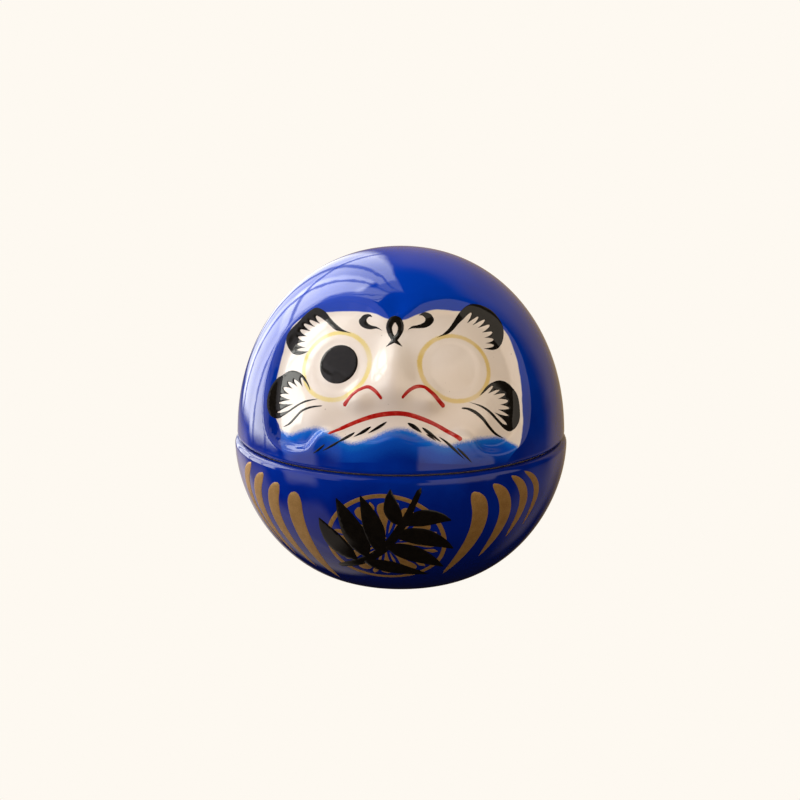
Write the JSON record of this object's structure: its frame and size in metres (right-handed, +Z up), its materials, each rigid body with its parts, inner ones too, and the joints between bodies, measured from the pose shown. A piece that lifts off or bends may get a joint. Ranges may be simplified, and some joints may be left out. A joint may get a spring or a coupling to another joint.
{
  "type": "daruma lidded jar",
  "caption": "Round glazed ceramic daruma figure made as a lidded jar: a hooded head with a moulded face lifts off a round bowl-shaped body.",
  "frame": {"origin": "on the ground under the middle of the foot ring, which is the bottom centre of the bounding box", "axes": "+Z up along the jar's axis, -Y towards the face, +X to the viewer's right"},
  "size_m": [0.1106, 0.1106, 0.1108],
  "materials": {
    "cobalt_glaze": "gloss",
    "white_glaze": "gloss",
    "bare_biscuit": "matte",
    "black_enamel": "gloss",
    "red_enamel": "gloss",
    "yellow_enamel": "gloss",
    "gold_lustre": "satin"
  },
  "bodies": {
    "bowl": {"bowl": "cobalt_glaze"},
    "lid": {"lid": "cobalt_glaze"}
  },
  "joints": [
    {"name": "lid_lift", "type": "slide", "parent": "bowl", "child": "lid", "axis": [0, 0, 1], "range_m": [0, 0.07]}
  ]
}
